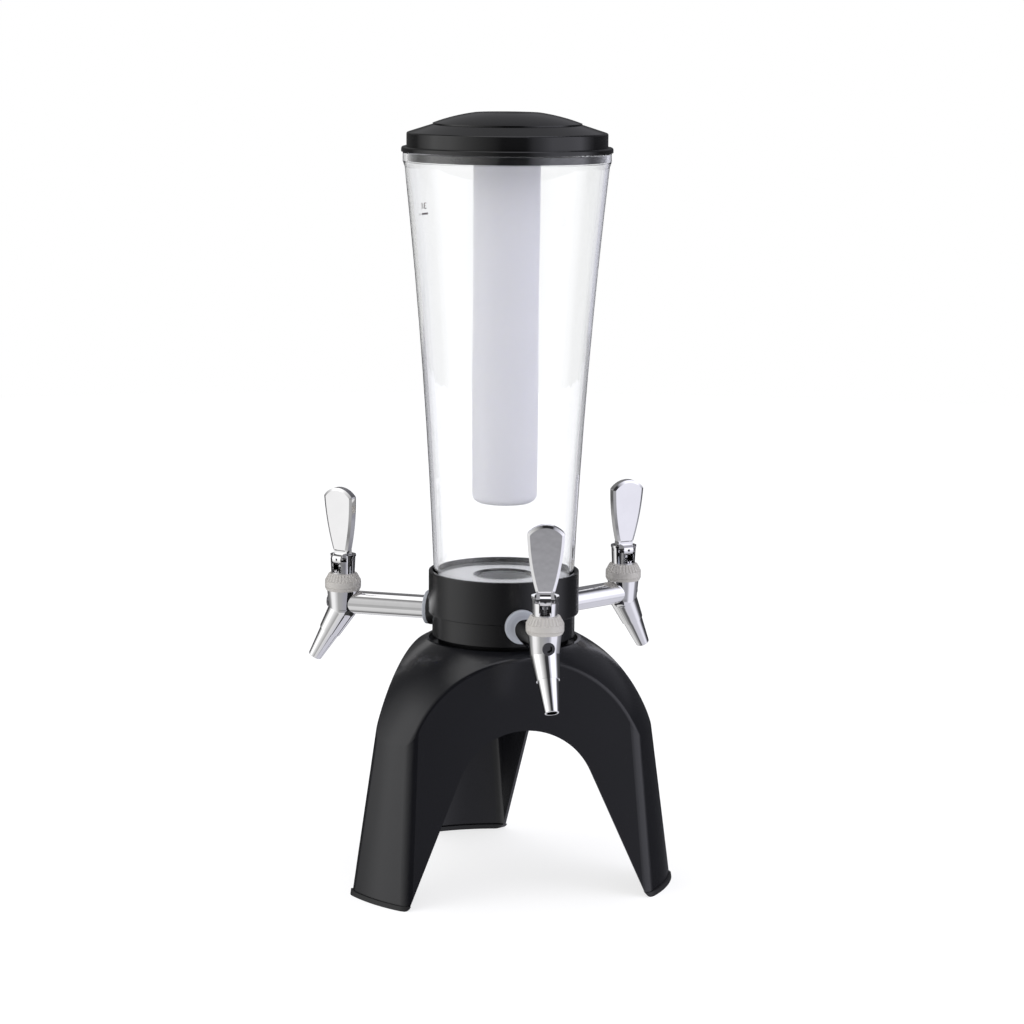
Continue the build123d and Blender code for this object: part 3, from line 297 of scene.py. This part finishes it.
def moulded_surface():
    """Node group: slight flow clouds in colour and gloss, and a fine grain, for moulded plastic and
    rubber; the sizes of clouds and grain are in millimetres."""
    group = bpy.data.node_groups.new("moulded_surface", "ShaderNodeTree")
    face = group.interface
    face.new_socket("Colour", in_out="INPUT", socket_type="NodeSocketColor")
    for name, value in (("Roughness", 0.3), ("Clouds", 0.2), ("Cloud Size", 40.0), ("Grain", 0.3),
                        ("Grain Size", 0.4)):
        face.new_socket(name, in_out="INPUT", socket_type="NodeSocketFloat").default_value = value
    face.new_socket("Colour", in_out="OUTPUT", socket_type="NodeSocketColor")
    face.new_socket("Roughness", in_out="OUTPUT", socket_type="NodeSocketFloat")
    face.new_socket("Height", in_out="OUTPUT", socket_type="NodeSocketFloat")
    given = group.nodes.new("NodeGroupInput")
    made = group.nodes.new("NodeGroupOutput")
    place = group.nodes.new("ShaderNodeTexCoord")
    cloud = add_node(group, "ShaderNodeTexNoise", Detail=3.0, Roughness=0.55)
    group.links.new(place.outputs["Object"], cloud.inputs["Vector"])
    cloud_scale = add_math(group, "DIVIDE", MILLIMETRES, given.outputs["Cloud Size"])
    group.links.new(cloud_scale, cloud.inputs["Scale"])
    grain = add_node(group, "ShaderNodeTexNoise", Detail=2.0, Roughness=0.6)
    group.links.new(place.outputs["Object"], grain.inputs["Vector"])
    grain_scale = add_math(group, "DIVIDE", MILLIMETRES, given.outputs["Grain Size"])
    group.links.new(grain_scale, grain.inputs["Scale"])
    swing = add_math(group, "SUBTRACT", cloud.outputs["Fac"], NOISE_MIDDLE)
    swing = add_math(group, "MULTIPLY", swing, given.outputs["Clouds"])
    rough = add_math(group, "MULTIPLY", swing, CLOUD_GLOSS)
    rough = add_math(group, "MULTIPLY", rough, given.outputs["Roughness"])
    rough = add_math(group, "ADD", rough, given.outputs["Roughness"])
    tone = add_math(group, "ADD", swing, 1)
    shade = group.nodes.new("ShaderNodeVectorMath")
    shade.operation = "SCALE"
    group.links.new(given.outputs["Colour"], shade.inputs[0])
    group.links.new(tone, shade.inputs["Scale"])
    group.links.new(shade.outputs[0], made.inputs["Colour"])
    group.links.new(rough, made.inputs["Roughness"])
    rise = add_math(group, "MULTIPLY", grain.outputs["Fac"], given.outputs["Grain"])
    group.links.new(rise, made.inputs["Height"])
    return group


MOULDED = moulded_surface()


def new_material(name, **sockets):
    """Material with a Principled shader, some of its inputs set, and its node tree."""
    material = bpy.data.materials.new(name)
    material.use_nodes = True
    tree = material.node_tree
    shader = tree.nodes["Principled BSDF"]
    for socket, value in sockets.items():
        shader.inputs[socket.replace("_", " ")].default_value = value
    return material, tree, shader


def add_bump(tree, height, shader, depth):
    """Bump of a real depth in metres into the shader's normal."""
    bump = add_node(tree, "ShaderNodeBump", Strength=1.0, Distance=depth)
    tree.links.new(height, bump.inputs["Height"])
    tree.links.new(bump.outputs["Normal"], shader.inputs["Normal"])


def moulded(name, colour, roughness, clouds=0.2, cloud_size=40.0, grain=0.3, grain_size=0.4, **sockets):
    """Moulded plastic or rubber: a colour with slight clouds and a fine grain."""
    material, tree, shader = new_material(name, **sockets)
    surface = tree.nodes.new("ShaderNodeGroup")
    surface.node_tree = MOULDED
    surface.inputs["Colour"].default_value = (*colour, 1)
    for socket, value in (("Roughness", roughness), ("Clouds", clouds), ("Cloud Size", cloud_size),
                          ("Grain", grain), ("Grain Size", grain_size)):
        surface.inputs[socket].default_value = value
    tree.links.new(surface.outputs["Colour"], shader.inputs["Base Color"])
    tree.links.new(surface.outputs["Roughness"], shader.inputs["Roughness"])
    add_bump(tree, surface.outputs["Height"], shader, GRAIN_DEPTH)
    return material


def paint(name, material):
    """Gives a CAD node its finish."""
    obj = nodes[name]
    obj.data.materials.clear()
    obj.data.materials.append(material)


BASE_BLACK = (0.0060, 0.0062, 0.0080)
base_plastic = moulded("base_plastic", BASE_BLACK, roughness=0.21, clouds=0.25, cloud_size=60.0,
                       grain=0.25)
paint("tripod_base", base_plastic)

# ---------------------------------------------------------------- foot strips and base screws
# Soft black edging pressed on under each leg, and three steel screws with six-sided sockets
# that hold base, collar and spreader together.
strip_rubber = moulded("strip_rubber", (0.007, 0.007, 0.008), roughness=0.5, clouds=0.3, grain=0.6,
                       grain_size=0.3)
for leg in ("right", "left", "rear"):
    paint("foot_strip_" + leg, strip_rubber)


STEEL_SPECKS = 900.0
SPECK_DEPTH = 0.00001
SPECK_TONE = 0.9
STEEL_LEAST_ROUGH = 0.7
STEEL_ROUGH_SWING = 0.6


def turned_steel(name, colour, roughness):
    """Bright turned steel with fine specks in its tone and roughness."""
    material, tree, shader = new_material(name, Metallic=1.0)
    place = tree.nodes.new("ShaderNodeTexCoord")
    specks = add_node(tree, "ShaderNodeTexNoise", Scale=STEEL_SPECKS, Detail=3.0)
    tree.links.new(place.outputs["Object"], specks.inputs["Vector"])
    darker = tuple(SPECK_TONE * share for share in colour)
    tone = add_ramp(tree, specks.outputs["Fac"], ((0.3, darker), (0.7, colour)))
    tree.links.new(tone, shader.inputs["Base Color"])
    swing = add_math(tree, "MULTIPLY", specks.outputs["Fac"], STEEL_ROUGH_SWING * roughness)
    tree.links.new(add_math(tree, "ADD", swing, STEEL_LEAST_ROUGH * roughness), shader.inputs["Roughness"])
    add_bump(tree, specks.outputs["Fac"], shader, SPECK_DEPTH)
    return material


screw_steel = turned_steel("screw_steel", (0.56, 0.56, 0.57), roughness=0.3)
paint("base_screws", screw_steel)

# ---------------------------------------------------------------- collar
# Black ring in three steps that carries the tumbler above and the three pipes at its sides,
# moulded in the same plastic as the base but a little more matt.
collar_plastic = moulded("collar_plastic", (0.0045, 0.0045, 0.0052), roughness=0.25, clouds=0.2,
                         cloud_size=50.0, grain=0.3)
paint("collar", collar_plastic)

# ---------------------------------------------------------------- spreader and its gasket
# White moulding inside the collar that leads the drink to the three pipes, and the soft ring
# that seals the tumbler's neck in it. Its top is drawn a hair below the tumbler's floor, which
# rests on it, so that the two faces don't fall together.
FLANGE_DROP = 0.00015
spreader_plastic = moulded("spreader_plastic", (0.88, 0.885, 0.89), roughness=0.35, clouds=0.05)
spreader = bpy.data.objects.new("white_spreader", nodes["manifold"].data.copy())
bpy.context.scene.collection.objects.link(spreader)
flange_top = max(vertex.co.z for vertex in spreader.data.vertices)
for vertex in spreader.data.vertices:
    if vertex.co.z > flange_top - FLANGE_DROP:
        vertex.co.z -= FLANGE_DROP
spreader.data.materials.clear()
spreader.data.materials.append(spreader_plastic)
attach(spreader, "root")
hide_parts("manifold")
gasket_rubber = moulded("gasket_rubber", (0.20, 0.23, 0.25), roughness=0.5, clouds=0.1)
paint("neck_gasket", gasket_rubber)

# ---------------------------------------------------------------- tumbler
# Clear hard plastic, injection moulded with a wall of about 3 mm; the edges read grey where one
# looks along the wall, and the surface has the slightest waviness.
CLEAR_TINT = (0.74, 0.75, 0.76, 1)
CLEAR_DENSITY = 14.0
CLEAR_LOW = (0.975, 0.98, 0.98)
CLEAR_HIGH = (0.99, 0.992, 0.992)
CLEAR_ROUGHNESS = 0.03
FLOW_SCALE = 18.0
FLOW_DEPTH = 0.00006


def clear_plastic():
    """Clear moulded plastic: refracting, faintly wavy, grey in depth."""
    material, tree, shader = new_material("clear_plastic", IOR=1.50, Transmission_Weight=1.0)
    place = tree.nodes.new("ShaderNodeTexCoord")
    flow = add_node(tree, "ShaderNodeTexNoise", Scale=FLOW_SCALE, Detail=1.0)
    tree.links.new(place.outputs["Object"], flow.inputs["Vector"])
    tone = add_ramp(tree, flow.outputs["Fac"], ((0.3, CLEAR_LOW), (0.7, CLEAR_HIGH)))
    tree.links.new(tone, shader.inputs["Base Color"])
    rough = add_math(tree, "MULTIPLY", flow.outputs["Fac"], CLEAR_ROUGHNESS)
    tree.links.new(rough, shader.inputs["Roughness"])
    add_bump(tree, flow.outputs["Fac"], shader, FLOW_DEPTH)
    depth = tree.nodes.new("ShaderNodeVolumeAbsorption")
    depth.inputs["Color"].default_value = CLEAR_TINT
    depth.inputs["Density"].default_value = CLEAR_DENSITY
    tree.links.new(depth.outputs[0], tree.nodes["Material Output"].inputs["Volume"])
    return material


paint("tumbler", clear_plastic())

# ---------------------------------------------------------------- scale mark
# A short line and a plain number printed in dark red ink on the tumbler's outside, near the
# rim on the left, to show how full it is.
MARK_HEIGHT = 0.5065
MARK_ANGLE = math.radians(143)
MARK_LINE = (0.0140, 0.0015)
MARK_FIGURE = 0.0068
FIGURE_STRETCH = 1.7
INK_PROUD = 0.00006
LEAN_STEP = 0.01
LINE_COLUMNS = 8


def wall_radius(height):
    """Outside radius of the tumbler at a height, read from its own mesh."""
    best = {}
    for vertex in nodes["tumbler"].data.vertices:
        reach = math.hypot(vertex.co.x, vertex.co.y)
        level = round(vertex.co.z, 4)
        best[level] = max(best.get(level, 0), reach)
    levels = sorted(best)
    above = next(z for z in levels if z >= height)
    below = max(z for z in levels if z < height)
    share = (height - below) / (above - below)
    return best[below] + (best[above] - best[below]) * share


def printed(name, outline_faces, points):
    """Thin ink patch wrapped on the wall; points are across and up, in metres, round the mark."""
    radius = wall_radius(MARK_HEIGHT)
    lean = (wall_radius(MARK_HEIGHT + LEAN_STEP) - wall_radius(MARK_HEIGHT - LEAN_STEP)) / (2 * LEAN_STEP)
    wrapped = []
    for across, rise in points:
        reach = radius + lean * rise + INK_PROUD
        angle = MARK_ANGLE + across / radius
        wrapped.append((reach * math.cos(angle), reach * math.sin(angle), MARK_HEIGHT + rise))
    mesh = bpy.data.meshes.new(name)
    mesh.from_pydata(wrapped, [], outline_faces)
    obj = bpy.data.objects.new(name, mesh)
    bpy.context.scene.collection.objects.link(obj)
    return obj


def figure_mesh(text, height):
    """Flat mesh of a plain number, as faces and points across and up."""
    curve = bpy.data.curves.new("figure", "FONT")
    curve.body = text
    curve.size = height
    curve.align_x = "CENTER"
    obj = bpy.data.objects.new("figure", curve)
    bpy.context.scene.collection.objects.link(obj)
    bpy.context.view_layer.update()
    mesh = bpy.data.meshes.new_from_object(obj.evaluated_get(bpy.context.evaluated_depsgraph_get()))
    points = [(v.co.x, v.co.y) for v in mesh.vertices]
    faces = [tuple(p.vertices) for p in mesh.polygons]
    bpy.data.objects.remove(obj)
    return faces, points


ink = moulded("scale_ink", (0.06, 0.006, 0.010), roughness=0.45, clouds=0.5, cloud_size=2.0, grain=0.3)
width, thickness = MARK_LINE
line_points = []
for edge in (0, thickness):
    line_points += [(width * (i / LINE_COLUMNS - 0.5), edge) for i in range(LINE_COLUMNS + 1)]
line_faces = [(i, i + 1, LINE_COLUMNS + 2 + i, LINE_COLUMNS + 1 + i) for i in range(LINE_COLUMNS)]
figure_faces, figure_points = figure_mesh("30", MARK_FIGURE)
figure_rise = 3 * thickness
figure_points = [(across * FIGURE_STRETCH, rise + figure_rise) for across, rise in figure_points]
scale_line = printed("scale_line", line_faces, line_points)
scale_figure = printed("scale_figure", figure_faces, figure_points)
for mark in (scale_line, scale_figure):
    mark.data.materials.append(ink)
    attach(mark, "tumbler")

# ---------------------------------------------------------------- lid
# Domed cover in glossy black plastic, with a liner snapped into it that fits inside the
# tumbler's rim and holds the ice tube.
lid_plastic = moulded("lid_plastic", (0.0065, 0.0065, 0.0068), roughness=0.12, clouds=0.2,
                      cloud_size=45.0, grain=0.2)
liner_plastic = moulded("liner_plastic", (0.014, 0.014, 0.0145), roughness=0.14, clouds=0.2, grain=0.2)
paint("lid_cover", lid_plastic)
paint("lid_plug", liner_plastic)

# ---------------------------------------------------------------- ice tube
# Milky tube, blow moulded and closed at the bottom, that hangs in the drink and is filled with
# ice. Light spreads a little inside its wall.
tube_plastic = moulded("tube_plastic", (0.88, 0.875, 0.93), roughness=0.33, clouds=0.03, grain=0.2,
                       Subsurface_Weight=0.25, Subsurface_Radius=(0.004, 0.004, 0.0045))
paint("ice_tube", tube_plastic)


# ---------------------------------------------------------------- taps: chromed pieces
# Pipes, bodies, nozzles, bonnets and handles are cast or turned, polished and brightly plated,
# with slight unevenness and a few smudges from handling. The plugs get a darker metal colour than the
# rest.
SMUDGE_SCALE = 70.0
SMUDGE_TONE = 0.97
PLATE_LEAST_ROUGH = 0.5
WAVE_SCALE = 160.0


def chrome_plate(name, colour, roughness, waviness):
    """Plating with faint waves from polishing, of a depth in metres, and slight smudges."""
    material, tree, shader = new_material(name, Metallic=1.0)
    place = tree.nodes.new("ShaderNodeTexCoord")
    smudge = add_node(tree, "ShaderNodeTexNoise", Scale=SMUDGE_SCALE, Detail=4.0, Roughness=0.6)
    tree.links.new(place.outputs["Object"], smudge.inputs["Vector"])
    darker = tuple(SMUDGE_TONE * share for share in colour)
    tone = add_ramp(tree, smudge.outputs["Fac"], ((0.35, darker), (0.65, colour)))
    tree.links.new(tone, shader.inputs["Base Color"])
    swing = add_math(tree, "MULTIPLY", smudge.outputs["Fac"], roughness)
    tree.links.new(add_math(tree, "ADD", swing, PLATE_LEAST_ROUGH * roughness), shader.inputs["Roughness"])
    wave = add_node(tree, "ShaderNodeTexNoise", Scale=WAVE_SCALE, Detail=1.0)
    tree.links.new(place.outputs["Object"], wave.inputs["Vector"])
    add_bump(tree, wave.outputs["Fac"], shader, waviness)
    return material


TAPS = ("front", "right", "left")
# a darker metal colour for the plugs than for the chrome
dark_plate = chrome_plate("dark_plate", (0.20, 0.20, 0.205), roughness=0.12, waviness=0.00004)
chrome = chrome_plate("chrome_plate", (0.90, 0.895, 0.90), roughness=0.02, waviness=0.00003)
for tap in TAPS:
    for kind in ("shank", "tap_body", "nozzle", "bonnet", "handle"):
        paint(kind + "_" + tap, chrome)
    paint("port_plug_" + tap, dark_plate)

# ---------------------------------------------------------------- taps: pale plastic pieces
# Translucent nuts with a toothed cone clamp the bonnets, and translucent washers sit between
# the pipes and the collar.
nut_plastic = moulded("nut_plastic", (0.54, 0.52, 0.49), roughness=0.28, clouds=0.14, cloud_size=5.0,
                      grain=0.3, Subsurface_Weight=0.12, Subsurface_Radius=(0.0012, 0.0012, 0.0012))
washer_plastic = moulded("washer_plastic", (0.42, 0.44, 0.48), roughness=0.3, clouds=0.1, cloud_size=8.0,
                         Subsurface_Weight=0.4, Subsurface_Radius=(0.003, 0.003, 0.003))
for tap in TAPS:
    paint("coupling_nut_" + tap, nut_plastic)
    paint("washer_" + tap, washer_plastic)

# ---------------------------------------------------------------- taps: steel and rubber inside
# Turned steel pins, stems and lock nuts, the coiled spring that shuts the tap again, and the
# rubber seals on the stem and under the bonnet.
valve_steel = turned_steel("valve_steel", (0.60, 0.60, 0.61), roughness=0.22)
seal_rubber = moulded("seal_rubber", (0.045, 0.045, 0.05), roughness=0.55, clouds=0.2)
for tap in TAPS:
    for kind in ("pivot_pin", "stem", "lock_nut"):
        paint(kind + "_" + tap, valve_steel)
    for kind in ("stem_seal", "bonnet_gasket"):
        paint(kind + "_" + tap, seal_rubber)
    coil = bpy.data.objects.new("return_spring_" + tap, nodes["spring_" + tap].data.copy())
    bpy.context.scene.collection.objects.link(coil)
    coil.data.materials.clear()
    coil.data.materials.append(valve_steel)
    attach(coil, "root")
    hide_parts("spring_" + tap)
    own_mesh(coil)
